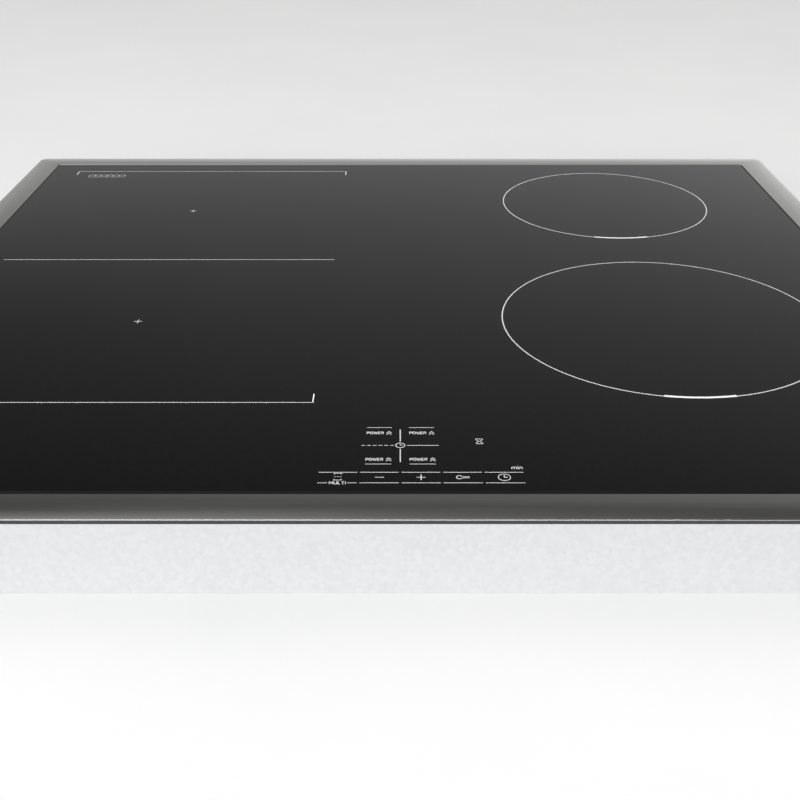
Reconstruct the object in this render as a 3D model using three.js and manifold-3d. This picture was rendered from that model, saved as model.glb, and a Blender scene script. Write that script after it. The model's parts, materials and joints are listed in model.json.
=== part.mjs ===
// Framed induction hob, 60 cm class, with its inside: four sprung coils, two fan-cooled power
// modules, a touch control unit and a mains connection. Millimetres, +X right, +Y to the wall,
// +Z up, origin at the centre of the underside of the sheet-metal tray.
import * as THREE from 'three';
import { mergeVertices } from 'three/addons/utils/BufferGeometryUtils.js';
import Module from 'manifold-3d';

const wasm = await Module();
wasm.setup();

// ---- driving dimensions -------------------------------------------------------------------
const OVERALL = { x: 583, y: 513, z: 51 };
const STRIP = 19;                 // width of the trim strip seen from above
const GLASS_GAP = 0.6;            // open line between glass and trim
const GLASS_T = 4;
const WORKTOP_Z = 49;             // where the worktop's upper face lies once fitted
const SHEET = 1;                  // tray sheet
const FIT = 0.1;                  // play between fixed pieces that lie on each other
const ARC = 3;                    // curve divisions of a rounded corner
const COIL_ARC = 4;               // curve divisions of a quarter of a coil's outline
const ROUND = 32;                 // segments of a full circle

// trim: a folded strip whose web and ledge carry the glass from below
const TRIM = { flange: 1.2, lip: 1, web: 1.5, ledge: 8.5, ledgeZ: 45, ledgeT: 1.4 };
const TRIM_IN = { x: OVERALL.x / 2 - STRIP, y: OVERALL.y / 2 - STRIP };
const TRIM_R = { outer: 5, inner: 2 };
const GLASS_BOTTOM = OVERALL.z - GLASS_T;

// tray: wall stands just outside the trim's web
const TRAY_PLAY = 0.6;
const TRAY = {
  x: TRIM_IN.x + TRIM.web + TRAY_PLAY + SHEET,
  y: TRIM_IN.y + TRIM.web + TRAY_PLAY + SHEET,
  top: 48.2,
  r: 5,
};

const OUTLET = { count: 8, pitch: 16, first: 112, y: -204, length: 34, width: 5 };
const VENT = { count: 9, pitch: 20, length: 14, z0: 27, z1: 32 };

// zones: the coil centres under the marks on the glass
const LEFT_X = -146.7;
const RIGHT_X = 147.3;
const FRONT_Y = -63.8;
const round = (r) => ({ x: r, y: r, r });
const OBLONG = { outer: { x: 96, y: 85, r: 34 }, inner: { x: 34, y: 25, r: 12 } };
const ZONES = [
  { name: 'front_left', x: LEFT_X, y: FRONT_Y, ...OBLONG },
  { name: 'rear_left', x: LEFT_X, y: 124.6, ...OBLONG },
  { name: 'front_right', x: RIGHT_X, y: FRONT_Y, outer: round(82), inner: round(24) },
  { name: 'rear_right', x: RIGHT_X, y: 141.6, outer: round(65), inner: round(22) },
];
const COIL = { plateZ: 38, plateT: 2.2, rim: 3, windZ: 43.2, windT: 2.6, micaZ: 46.0, micaT: 0.6 };
const COIL_PEG = { r: 3, hole: 4.2, down: 9, segments: 10 };
const SENSOR = { r: 6.5, z: 40.6, top: 46.6, bore: 7.5 };

// decks: inverted channels that carry the coils over the electronics
const DECK = { inner: 6, outer: 262, front: -168, back: 226, z: 29.2, t: 1.2, foot: 8 };

// power modules, mirrored about X = 0
const MODULE = { inner: 18, outer: 196, front: -152, back: 112 };
const BASE_Z = SHEET + 0.3;
const BOARD_Z = 6;
const BOARD_T = 1.6;
const FAN = { x: 92, y: 172, r: 38, wall: 1.6, z: BASE_Z, height: 23, inlet: 31, eye: 24 };
const WHEEL = { blades: 16, spindle: 3 };
const MOTOR = { r: 12.5, play: 0.8, cup: 1.5, bore: 3.4 };
const SINK = { x: 92, width: 60, front: -96, back: 96, base: 4, fins: 11, height: 17 };

// control unit under the front edge of the glass
const CONTROL = { x: 84, front: -228, back: -172, z: 37, floor: 1.6, wall: 1.6, top: 44.2 };

const RIBBON = { x: -32, width: 18, t: 0.8 };

// mains connection at the rear right
const MAINS = { x: 220, half: 32, back: TRAY.y - SHEET - 0.3, depth: 52, top: 26, wall: 1.8, inletZ: 14 };
const GLAND = { tube: 9, bore: 6.5, flange: 13, proud: 3, inside: 4 };

// side clips hooked into the tray's walls
const CLIP = { y: 150, width: 30, t: 0.8, hookZ: 41, bulge: 5.9, bulgeZ: 20, tipZ: 9, tip: 3.2 };
const CLIP_SLOT = { height: 2.4, play: 0.5 };

// ---- materials ----------------------------------------------------------------------------
function paint(color, roughness, metalness) {
  return new THREE.MeshStandardMaterial({ color, roughness, metalness });
}

const glassBlack = paint(0x141416, 0.08, 0);
const stainless = paint(0xa9a8a4, 0.32, 1);
const galvanised = paint(0xb4b7b8, 0.45, 1);
const springSteel = paint(0x8f9294, 0.35, 1);
const aluminium = paint(0xc4c6c8, 0.4, 1);
const silicone = paint(0x17181a, 0.7, 0);
const foam = paint(0x2b2c2e, 0.9, 0);
const blackPlastic = paint(0x202124, 0.55, 0);
const greyPlastic = paint(0x8a8d90, 0.6, 0);
const copper = paint(0x9c5a32, 0.45, 1);
const mica = paint(0xc9bfa6, 0.7, 0);
const boardGreen = paint(0x1f4a35, 0.5, 0);
const ceramicWhite = paint(0xdad8d0, 0.5, 0);

// ---- solid helpers ------------------------------------------------------------------------
function toSolid(geometry) {
  const bare = geometry.clone();
  bare.deleteAttribute('normal');
  bare.deleteAttribute('uv');
  const merged = mergeVertices(bare, 1e-4);
  return new wasm.Manifold(new wasm.Mesh({
    numProp: 3,
    vertProperties: Float32Array.from(merged.attributes.position.array),
    triVerts: Uint32Array.from(merged.index.array),
  }));
}

function toGeometry(solid) {
  const mesh = solid.getMesh();
  const geometry = new THREE.BufferGeometry();
  geometry.setAttribute('position', new THREE.BufferAttribute(Float32Array.from(mesh.vertProperties), 3));
  geometry.setIndex(new THREE.BufferAttribute(Uint32Array.from(mesh.triVerts), 1));
  geometry.computeVertexNormals();
  return geometry;
}

function join(...geometries) {
  return toGeometry(geometries.map(toSolid).reduce((sum, next) => sum.add(next)));
}

function cut(body, ...tools) {
  return toGeometry(tools.map(toSolid).reduce((rest, tool) => rest.subtract(tool), toSolid(body)));
}

// ---- shape helpers ------------------------------------------------------------------------
function roundedRect(halfX, halfY, radius, path = new THREE.Shape()) {
  const r = Math.min(radius, halfX, halfY);
  path.moveTo(halfX, -halfY + r);
  if (r < halfY) path.lineTo(halfX, halfY - r);
  path.absarc(halfX - r, halfY - r, r, 0, Math.PI / 2);
  if (r < halfX) path.lineTo(-halfX + r, halfY);
  path.absarc(-halfX + r, halfY - r, r, Math.PI / 2, Math.PI);
  if (r < halfY) path.lineTo(-halfX, -halfY + r);
  path.absarc(-halfX + r, -halfY + r, r, Math.PI, 1.5 * Math.PI);
  if (r < halfX) path.lineTo(halfX - r, -halfY);
  path.absarc(halfX - r, -halfY + r, r, 1.5 * Math.PI, 2 * Math.PI);
  return path;
}

function slab(shape, z0, z1, segments = ARC) {
  const settings = { depth: z1 - z0, bevelEnabled: false, curveSegments: segments };
  return new THREE.ExtrudeGeometry(shape, settings).translate(0, 0, z0);
}

// a frame between two rounded rectangles
function ring(outer, inner, z0, z1, segments = ARC) {
  const shape = roundedRect(outer.x, outer.y, outer.r);
  shape.holes.push(roundedRect(inner.x, inner.y, inner.r, new THREE.Path()));
  return slab(shape, z0, z1, segments);
}

function box(x0, x1, y0, y1, z0, z1) {
  const geometry = new THREE.BoxGeometry(x1 - x0, y1 - y0, z1 - z0);
  return geometry.translate((x0 + x1) / 2, (y0 + y1) / 2, (z0 + z1) / 2);
}

function disc(x, y, r, z0, z1, segments = ROUND) {
  const geometry = new THREE.CylinderGeometry(r, r, z1 - z0, segments);
  return geometry.rotateX(Math.PI / 2).translate(x, y, (z0 + z1) / 2);
}

// a round bar or bore whose axis runs along Y
function barY(x, z, r, y0, y1, segments = ROUND) {
  const geometry = new THREE.CylinderGeometry(r, r, y1 - y0, segments);
  return geometry.translate(x, (y0 + y1) / 2, z);
}

// a stadium slot standing on a sheet, long side along Y
function slotPath(x, y, length, width) {
  const r = width / 2;
  const path = new THREE.Path();
  path.absarc(x, y + length / 2 - r, r, 0, Math.PI);
  path.absarc(x, y - length / 2 + r, r, Math.PI, 2 * Math.PI);
  return path;
}

// an outline in the X-Z plane, run along Y
function runY(points, y0, y1) {
  const shape = new THREE.Shape(points.map(([x, z]) => new THREE.Vector2(x, z)));
  const geometry = new THREE.ExtrudeGeometry(shape, { depth: y1 - y0, bevelEnabled: false });
  return geometry.rotateX(Math.PI / 2).translate(0, y1, 0);
}

// an outline in the Y-Z plane, run along X
function runX(points, x0, x1) {
  const shape = new THREE.Shape(points.map(([y, z]) => new THREE.Vector2(y, z)));
  const geometry = new THREE.ExtrudeGeometry(shape, { depth: x1 - x0, bevelEnabled: false });
  return geometry.rotateX(Math.PI / 2).rotateZ(Math.PI / 2).translate(x0, 0, 0);
}

const hob = new THREE.Group();

function add(name, geometry, material, parent = hob) {
  const mesh = new THREE.Mesh(geometry, material);
  mesh.name = name;
  parent.add(mesh);
  return mesh;
}

// grows or shrinks the trim's inner outline
function trimOutline(offset, r) {
  return { x: TRIM_IN.x + offset, y: TRIM_IN.y + offset, r };
}

// ---- glass, trim and seals ----------------------------------------------------------------
function makeGlass() {
  const arris = 0.4;
  const shape = roundedRect(TRIM_IN.x - GLASS_GAP, TRIM_IN.y - GLASS_GAP, TRIM_R.inner);
  const plate = new THREE.ExtrudeGeometry(shape, {
    depth: GLASS_T - 2 * arris,
    bevelThickness: arris,
    bevelSize: arris,
    bevelOffset: -arris,
    bevelSegments: 1,
    curveSegments: ARC,
  });
  add('glass_plate', plate.translate(0, 0, GLASS_BOTTOM + arris), glassBlack);
}

function makeTrim() {
  const top = OVERALL.z;
  const under = top - TRIM.flange;
  const ledgeTop = TRIM.ledgeZ + TRIM.ledgeT;
  const web = trimOutline(TRIM.web, TRIM_R.inner + TRIM.web);
  const inner = trimOutline(0, TRIM_R.inner);
  const outer = trimOutline(STRIP, TRIM_R.outer);
  const lipInner = trimOutline(STRIP - TRIM.lip, TRIM_R.outer - TRIM.lip);
  add('trim_frame', join(
    ring(outer, inner, under, top),
    ring(outer, lipInner, WORKTOP_Z, under),
    ring(web, inner, ledgeTop, under),
    ring(web, trimOutline(-TRIM.ledge, TRIM_R.inner), TRIM.ledgeZ, ledgeTop),
  ), stainless);
}

function makeSeals() {
  const bondZ = TRIM.ledgeZ + TRIM.ledgeT + FIT;
  const bond = ring(trimOutline(-1, 2), trimOutline(1 - TRIM.ledge, 2), bondZ, GLASS_BOTTOM - FIT);
  add('glass_bond', bond, silicone);
  const sealTop = OVERALL.z - TRIM.flange - FIT;
  const seal = ring(trimOutline(STRIP - 2.5, 4), trimOutline(8, 3), WORKTOP_Z, sealTop);
  add('worktop_seal', seal, foam);
}

// ---- tray ---------------------------------------------------------------------------------
function fanSlots(shape, centreX) {
  const pitch = 9;
  const count = 7;
  for (let i = 0; i < count; i += 1) {
    const offset = (i - (count - 1) / 2) * pitch;
    const length = 2 * Math.sqrt((FAN.inlet + 1) ** 2 - offset ** 2);
    shape.holes.push(slotPath(centreX + offset, FAN.y, length, 5));
  }
}

// outlets in the floor, in front of the electronics
function outletSlots(shape) {
  const { count, pitch, first, y, length, width } = OUTLET;
  for (let i = 0; i < count; i += 1) {
    for (const side of [-1, 1]) {
      shape.holes.push(slotPath(side * (first + i * pitch), y, length, width));
    }
  }
}

// a row of square vents through the side and rear walls
function wallVents() {
  const { count, pitch, length, z0, z1 } = VENT;
  const tools = [];
  for (let i = 0; i < count; i += 1) {
    const at = (i - (count - 1) / 2) * pitch;
    for (const side of [-1, 1]) {
      const wall = side * (TRAY.x - SHEET / 2);
      tools.push(box(wall - SHEET, wall + SHEET, at - length / 2, at + length / 2, z0, z1));
    }
    const rear = TRAY.y - SHEET / 2;
    tools.push(box(at - length / 2, at + length / 2, rear - SHEET, rear + SHEET, z0, z1));
  }
  return tools;
}

function clipSlots() {
  const half = CLIP.width / 2 + CLIP_SLOT.play;
  const z0 = CLIP.hookZ - CLIP_SLOT.height / 2;
  const tools = [];
  for (const side of [-1, 1]) {
    for (const y of [-CLIP.y, CLIP.y]) {
      const wall = side * (TRAY.x - SHEET / 2);
      tools.push(box(wall - SHEET, wall + SHEET, y - half, y + half, z0, z0 + CLIP_SLOT.height));
    }
  }
  return tools;
}

function makeTray() {
  const outline = { x: TRAY.x, y: TRAY.y, r: TRAY.r };
  const inside = { x: TRAY.x - SHEET, y: TRAY.y - SHEET, r: TRAY.r - SHEET };
  const floor = roundedRect(outline.x, outline.y, outline.r);
  fanSlots(floor, -FAN.x);
  fanSlots(floor, FAN.x);
  outletSlots(floor);
  const body = join(slab(floor, 0, SHEET), ring(outline, inside, SHEET, TRAY.top));
  const cableHole = barY(MAINS.x, MAINS.inletZ, GLAND.tube + 0.4, TRAY.y - 3, TRAY.y + 3);
  add('base_tray', cut(body, ...wallVents(), ...clipSlots(), cableHole), galvanised);
}

// ---- side clips ---------------------------------------------------------------------------
// outline of the leaf, as distance out from the tray's wall and height
function clipOutline() {
  const outside = [
    [1.4, CLIP.hookZ + 0.2],
    [CLIP.bulge, CLIP.bulgeZ + 1.5],
    [CLIP.bulge, CLIP.bulgeZ - 1.5],
    [CLIP.tip + CLIP.t, CLIP.tipZ],
  ];
  const inside = [
    [CLIP.tip, CLIP.tipZ],
    [CLIP.bulge - CLIP.t, CLIP.bulgeZ - 1.2],
    [CLIP.bulge - CLIP.t, CLIP.bulgeZ + 1.2],
    [0.7, CLIP.hookZ - CLIP.t / 2],
  ];
  const tab = -SHEET - 0.6 - CLIP.t;
  const hook = [
    [tab, CLIP.hookZ - CLIP.t / 2],
    [tab, CLIP.hookZ + 2.6],
    [tab + CLIP.t, CLIP.hookZ + 2.6],
    [tab + CLIP.t, CLIP.hookZ + CLIP.t / 2],
    [1.2, CLIP.hookZ + CLIP.t / 2],
  ];
  return [...outside, ...inside, ...hook];
}

function makeClips() {
  const places = [['left', -1], ['right', 1]];
  for (const [sideName, side] of places) {
    for (const [endName, y] of [['front', -CLIP.y], ['rear', CLIP.y]]) {
      const points = clipOutline().map(([out, z]) => [out + TRAY.x, z]);
      const leaf = runY(points, -CLIP.width / 2, CLIP.width / 2);
      const mesh = add(`side_clip_${endName}_${sideName}`, leaf, springSteel);
      mesh.rotation.z = side > 0 ? 0 : Math.PI;
      mesh.position.y = y;
    }
  }
}

// ---- coil units ---------------------------------------------------------------------------
function grow(outline, by) {
  return { x: outline.x + by, y: outline.y + by, r: outline.r + by };
}

// where the springs and pegs of a coil stand, relative to its centre
function pegPlaces(zone) {
  const reach = zone.outer.r < zone.outer.x ? [zone.outer.x - 14, zone.outer.y - 14] : null;
  if (reach) {
    return [[-1, -1], [1, -1], [1, 1], [-1, 1]].map(([sx, sy]) => [sx * reach[0], sy * reach[1]]);
  }
  const radius = zone.outer.x - 12;
  return [90, 210, 330].map((deg) => {
    const a = THREE.MathUtils.degToRad(deg);
    return [radius * Math.cos(a), radius * Math.sin(a)];
  });
}

function makeCarrier(zone, group) {
  const top = COIL.plateZ + COIL.plateT;
  const edge = grow(zone.outer, COIL.rim);
  const plate = ring(edge, round(SENSOR.bore), COIL.plateZ, top, COIL_ARC);
  const rim = ring(edge, grow(zone.outer, 0.6), top, COIL.windZ + COIL.windT, COIL_ARC);
  const hub = ring(grow(zone.inner, -0.6), grow(zone.inner, -3), top, COIL.windZ + COIL.windT, COIL_ARC);
  const pegEnd = COIL.plateZ - COIL_PEG.down;
  const { r, segments } = COIL_PEG;
  const pegs = pegPlaces(zone).map(([x, y]) => disc(x, y, r, pegEnd, COIL.plateZ, segments));
  add(`coil_carrier_${zone.name}`, join(plate, rim, hub, ...pegs), greyPlastic, group);
}

function makeWinding(zone, group) {
  const z1 = COIL.windZ + COIL.windT;
  add(`coil_winding_${zone.name}`, ring(zone.outer, zone.inner, COIL.windZ, z1, COIL_ARC), copper, group);
}

function makeMica(zone, group) {
  const top = COIL.micaZ + COIL.micaT;
  const sheet = ring(grow(zone.outer, 2), round(SENSOR.bore), COIL.micaZ, top, COIL_ARC);
  add(`coil_insulation_${zone.name}`, sheet, mica, group);
}

// temperature sensor in a soft stepped holder that snaps into the carrier's middle
function makeSensor(zone, group) {
  const body = join(
    disc(0, 0, SENSOR.r, COIL.plateZ - 1.6, SENSOR.top, 20),
    disc(0, 0, SENSOR.r + 4, SENSOR.z, SENSOR.z + 1.8, 20),
  );
  add(`coil_sensor_${zone.name}`, body, ceramicWhite, group);
}

function makeCoils() {
  for (const zone of ZONES) {
    const group = new THREE.Group();
    group.position.set(zone.x, zone.y, 0);
    hob.add(group);
    makeCarrier(zone, group);
    makeWinding(zone, group);
    makeMica(zone, group);
    makeSensor(zone, group);
  }
}

// ---- decks --------------------------------------------------------------------------------
function makeDeck(name, side) {
  const t = DECK.t;
  const x0 = DECK.inner;
  const x1 = DECK.outer;
  const foot = BASE_Z;
  const channel = runY([
    [x0, foot], [x0 + t, foot], [x0 + t, DECK.z], [x1 - t, DECK.z],
    [x1 - t, foot], [x1, foot], [x1, DECK.z + t], [x0, DECK.z + t],
  ], DECK.front, DECK.back);
  const tools = [];
  for (const zone of ZONES.filter((z) => Math.sign(z.x) === side)) {
    const x = Math.abs(zone.x);
    tools.push(disc(x, zone.y, SENSOR.r + 3, DECK.z - 1, DECK.z + t + 1, 24));
    for (const [px, py] of pegPlaces(zone)) {
      tools.push(disc(x + side * px, zone.y + py, COIL_PEG.hole, DECK.z - 1, DECK.z + t + 1, 12));
    }
  }
  // windows in the two legs leave feet and let air and wires through
  for (const [y0, y1] of [[-150, -90], [-70, 0], [20, 90], [110, 200]]) {
    tools.push(box(x0 - 1, x0 + t + 1, y0, y1, foot + DECK.foot, DECK.z - 4));
    tools.push(box(x1 - t - 1, x1 + 1, y0, y1, foot + DECK.foot, DECK.z - 4));
  }
  const mesh = add(name, cut(channel, ...tools), aluminium);
  if (side < 0) flipX(mesh);
}

// mirrors a piece to the other side of the hob and keeps its faces pointing out
function flipX(mesh) {
  mesh.geometry = mesh.geometry.index ? mesh.geometry.toNonIndexed() : mesh.geometry.clone();
  mesh.geometry.scale(-1, 1, 1);
  const position = mesh.geometry.attributes.position;
  for (let i = 0; i < position.count; i += 3) {
    const a = new THREE.Vector3().fromBufferAttribute(position, i);
    const b = new THREE.Vector3().fromBufferAttribute(position, i + 1);
    position.setXYZ(i, b.x, b.y, b.z);
    position.setXYZ(i + 1, a.x, a.y, a.z);
  }
  mesh.geometry.computeVertexNormals();
}

// ---- power modules ------------------------------------------------------------------------
function makeModuleBase() {
  const top = BOARD_Z - FIT;
  const { inner, outer, front, back } = MODULE;
  const floor = box(inner - 4, outer + 4, front - 4, back, BASE_Z, BASE_Z + 1.6);
  const ribs = [];
  for (const y of [front + 6, -64, 24, back - 8]) {
    ribs.push(box(inner, outer, y, y + 3, BASE_Z + 1.6, top));
  }
  return join(floor, ...ribs);
}

function makePowerBoard() {
  return box(MODULE.inner, MODULE.outer, MODULE.front, MODULE.back, BOARD_Z, BOARD_Z + BOARD_T);
}

function makeHeatsink() {
  const z0 = BOARD_Z + BOARD_T + FIT;
  const left = SINK.x - SINK.width / 2;
  const pitch = (SINK.width - 2) / (SINK.fins - 1);
  const points = [[left, z0], [left + SINK.width, z0]];
  for (let i = SINK.fins - 1; i >= 0; i -= 1) {
    const x = left + i * pitch;
    points.push([x + 2, z0 + SINK.base], [x + 2, z0 + SINK.height]);
    points.push([x, z0 + SINK.height], [x, z0 + SINK.base]);
  }
  points.splice(2, 1);
  points.pop();
  return runY(points, SINK.front, SINK.back);
}

function makeFanHousing() {
  const { x, y, r, wall, z, height } = FAN;
  const top = z + height;
  const outer = r + 6;
  const cover = join(
    disc(x, y, outer, z, top),
    box(x - outer, x + outer - 2, y - outer - 8, y, z, top),
  );
  const hollow = join(
    disc(x, y, outer - wall, z + wall, top - wall),
    box(x - outer + wall, x + outer - 2 - wall, y - outer - 10, y, z + wall, top - wall),
  );
  const inlet = disc(x, y, FAN.inlet, z - 1, z + wall + 1);
  return join(cut(cover, hollow, inlet), disc(x, y, WHEEL.spindle, top - wall - 13, top - wall, 16));
}

// the wheel's hub is a cup that turns round the motor and on the housing's spindle
function makeFanRotor() {
  const { x, y, r, z, height } = FAN;
  const low = z + FAN.wall + 1;
  const high = z + height - FAN.wall - 1;
  const hub = MOTOR.r + MOTOR.play + MOTOR.cup;
  const blades = [];
  for (let i = 0; i < WHEEL.blades; i += 1) {
    const blade = box(FAN.eye + 3, r - 1, -0.5, 0.5, low + 0.8, high - 0.6);
    blade.translate(-r, 0, 0).rotateZ(0.45).translate(r, 0, 0);
    blades.push(blade.rotateZ((i * 2 * Math.PI) / WHEEL.blades));
  }
  const wheel = join(
    disc(0, 0, r, high - 2, high),
    disc(0, 0, hub, low + 3, high - 1),
    ring(round(r + 0.8), round(FAN.eye + 6), low, low + 1.4, COIL_ARC),
    ...blades,
  );
  const seat = disc(0, 0, MOTOR.r + MOTOR.play, low + 5, high + 1, 24);
  const bore = disc(0, 0, WHEEL.spindle + 0.6, low + 3.8, high, 16);
  return cut(wheel, seat, bore).translate(x, y, 0);
}

function makeFanMotor() {
  const { x, y, z, height, wall } = FAN;
  const top = z + height - wall - FIT;
  const bottom = z + wall + 1 + 5.8;
  const stator = join(disc(x, y, MOTOR.r, bottom + 1.5, top, 24), disc(x, y, MOTOR.r - 2, bottom, top, 24));
  return cut(stator, disc(x, y, MOTOR.bore, bottom - 1, top + 1, 16));
}

function makeBusCapacitor() {
  const z0 = BOARD_Z + BOARD_T + FIT;
  return box(MODULE.inner + 8, MODULE.inner + 30, -120, -78, z0, z0 + 17);
}

function makeModules() {
  const pieces = [
    ['module_base', makeModuleBase, blackPlastic],
    ['power_board', makePowerBoard, boardGreen],
    ['heatsink', makeHeatsink, aluminium],
    ['fan_housing', makeFanHousing, blackPlastic],
    ['fan_rotor', makeFanRotor, blackPlastic],
    ['fan_motor', makeFanMotor, copper],
    ['bus_capacitor', makeBusCapacitor, ceramicWhite],
  ];
  for (const [side, sign] of [['left', -1], ['right', 1]]) {
    for (const [name, build, material] of pieces) {
      const mesh = add(`${name}_${side}`, build(), material);
      if (sign < 0) flipX(mesh);
    }
  }
}

// ---- mains connection ---------------------------------------------------------------------
function makeMains() {
  const { x, half, back, depth, top, wall } = MAINS;
  const front = back - depth;
  const shell = cut(
    box(x - half, x + half, front, back, BASE_Z, top),
    box(x - half + wall, x + half - wall, front + wall, back - wall, BASE_Z + wall, top + 1),
    barY(x, MAINS.inletZ, GLAND.tube + 0.4, back - 6, back + 2, 24),
    box(x - 20, x + 20, front - 1, front + wall + 1, top - 8, top + 1),
  );
  add('terminal_box', shell, blackPlastic);
  add('terminal_cover', box(x - half, x + half, front, back, top + FIT, top + 1.8), blackPlastic);
  const block = box(x - 24, x + 24, front + 8, front + 24, BASE_Z + wall + FIT, 17);
  const screws = [-2, -1, 0, 1, 2].map((i) => disc(x + i * 9.2, front + 16, 3.1, 12, 18, 16));
  add('terminal_block', cut(block, ...screws), ceramicWhite);
  const gland = join(
    barY(x, MAINS.inletZ, GLAND.tube, TRAY.y - SHEET - GLAND.inside, TRAY.y + GLAND.proud, 24),
    barY(x, MAINS.inletZ, GLAND.flange, TRAY.y + FIT, TRAY.y + GLAND.proud, 24),
  );
  const bore = barY(x, MAINS.inletZ, GLAND.bore, TRAY.y - 30, TRAY.y + 10, 24);
  add('cable_gland', cut(gland, bore), blackPlastic);
}

function makeFilter() {
  const x0 = MODULE.outer + 12;
  const x1 = DECK.outer - DECK.t - 4;
  const z1 = BOARD_Z + BOARD_T;
  add('filter_board', box(x0, x1, -120, 120, BOARD_Z, z1), boardGreen);
  const choke = ring(round(17), round(8), z1 + FIT, z1 + 17, COIL_ARC - 1);
  add('filter_choke', choke.translate((x0 + x1) / 2, 60, 0), copper);
  add('filter_capacitor', box(x0 + 6, x1 - 6, -20, 12, z1 + FIT, z1 + 17), greyPlastic);
}

// ---- control unit -------------------------------------------------------------------------
function makeControl() {
  const { x, front, back, z, floor, wall, top } = CONTROL;
  const legs = [];
  for (const sx of [-1, 1]) {
    for (const y of [front + 8, back - 8]) legs.push(disc(sx * (x - 8), y, 4, BASE_Z, z, 16));
  }
  const tub = cut(
    box(-x, x, front, back, z, top),
    box(-x + wall, x - wall, front + wall, back - wall, z + floor, top + 1),
    box(RIBBON.x - 12, RIBBON.x + 12, back - wall - 1, back + 1, z + floor + 1, top + 1),
  );
  add('control_carrier', join(tub, ...legs), blackPlastic);
  const boardZ = top + FIT;
  add('touch_board', box(-x + 4, x - 4, front + 3, back - 3, boardZ, boardZ + 1.6), boardGreen);
  const foilZ = boardZ + 1.6 + FIT;
  add('touch_foil', box(-60, 60, front + 6, back - 6, foilZ, GLASS_BOTTOM - FIT), foam);
}

// flat lead from the touch board down in front of the deck and back over the left power board
function makeRibbon() {
  const t = RIBBON.t;
  const drop = (CONTROL.back + DECK.front) / 2;
  const high = CONTROL.z + CONTROL.floor + 4;
  const low = BOARD_Z + BOARD_T + 5;
  const end = MODULE.front + 8;
  const outline = [
    [CONTROL.back - 8, high], [drop + t / 2, high], [drop + t / 2, low], [end, low],
    [end, low - t], [drop - t / 2, low - t], [drop - t / 2, high - t], [CONTROL.back - 8, high - t],
  ];
  const half = RIBBON.width / 2;
  add('control_ribbon', runX(outline, RIBBON.x - half, RIBBON.x + half), greyPlastic);
}

makeGlass();
makeTrim();
makeSeals();
makeTray();
makeClips();
makeCoils();
makeDeck('coil_deck_left', -1);
makeDeck('coil_deck_right', 1);
makeModules();
makeMains();
makeFilter();
makeControl();
makeRibbon();

export default hob;
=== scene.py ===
"""Framed induction hob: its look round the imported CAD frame. Lengths are in millimetres until a
mesh is made."""
import json
import random
from math import asin, cos, degrees, pi, radians, sin, sqrt

import bmesh
import bpy
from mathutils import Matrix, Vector


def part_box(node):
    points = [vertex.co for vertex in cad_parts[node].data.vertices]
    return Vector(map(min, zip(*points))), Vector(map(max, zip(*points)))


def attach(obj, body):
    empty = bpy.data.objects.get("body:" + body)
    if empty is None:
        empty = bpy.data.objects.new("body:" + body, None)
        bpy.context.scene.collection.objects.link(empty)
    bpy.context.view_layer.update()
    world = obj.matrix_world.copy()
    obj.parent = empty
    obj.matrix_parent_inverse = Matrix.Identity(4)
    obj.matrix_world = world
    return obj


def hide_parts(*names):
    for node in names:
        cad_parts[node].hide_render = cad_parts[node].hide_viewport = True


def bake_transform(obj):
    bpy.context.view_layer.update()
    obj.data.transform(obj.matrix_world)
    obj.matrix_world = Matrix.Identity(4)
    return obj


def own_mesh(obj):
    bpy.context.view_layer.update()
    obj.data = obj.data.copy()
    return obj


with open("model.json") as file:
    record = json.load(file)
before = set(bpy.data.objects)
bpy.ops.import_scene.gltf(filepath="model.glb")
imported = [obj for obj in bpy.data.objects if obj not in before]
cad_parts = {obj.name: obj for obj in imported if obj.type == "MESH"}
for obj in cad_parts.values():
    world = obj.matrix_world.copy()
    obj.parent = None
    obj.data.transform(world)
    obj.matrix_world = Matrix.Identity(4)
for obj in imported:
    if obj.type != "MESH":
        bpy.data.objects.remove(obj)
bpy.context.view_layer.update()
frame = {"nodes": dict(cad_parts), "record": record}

NODES = frame["nodes"]
BODY = "hob_body"
MM = 0.001
FULL_TURN = 2 * pi


def box_mm(node):
    """Lowest and highest corner of a CAD node, in millimetres."""
    low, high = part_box(node)
    return low / MM, high / MM


GLASS_LOW, GLASS_HIGH = box_mm("glass_plate")
TRIM_LOW, TRIM_HIGH = box_mm("trim_frame")
TRAY_HIGH = box_mm("base_tray")[1]
TOP = GLASS_HIGH.z
STRIP = 19  # breadth of the trim
JOINT = 0.45  # from the trim's inner edge to its strip
INNER = Vector((TRIM_HIGH.x - STRIP, TRIM_HIGH.y - STRIP))


# ---- mesh building ----
def turns(count, offset=0):
    """Even angles once round."""
    return [FULL_TURN * (i + offset) / count for i in range(count)]


def turned(centre, u, v, h, axis):
    """The place of (u, v) across an axis and h along it."""
    cx, cy, cz = centre
    if axis == "y":
        return (cx + v, cy + h, cz + u)
    return (cx + u, cy + v, cz + h)


def rounded_loop(half_x, half_y, radius, segments=8):
    """A rounded rectangle, counter-clockwise, with the same count at every size."""
    points = []
    for quarter, (sx, sy) in enumerate(((1, 1), (-1, 1), (-1, -1), (1, -1))):
        for i in range(segments + 1):
            a = pi / 2 * (quarter + i / segments)
            points.append((sx * (half_x - radius) + radius * cos(a),
                sy * (half_y - radius) + radius * sin(a)))
    return points


def smooth_path(points, rounds=2):
    """Cuts the corners of an open path."""
    path = [Vector(p) for p in points]
    for _ in range(rounds):
        finer = [path[0]]
        for a, b in zip(path, path[1:]):
            finer += [a.lerp(b, 0.25), a.lerp(b, 0.75)]
        path = finer + [path[-1]]
    return path


def heading(path, i):
    """A path's direction at its point i, from the points either side."""
    return (path[min(i + 1, len(path) - 1)] - path[max(i - 1, 0)]).normalized()


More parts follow.
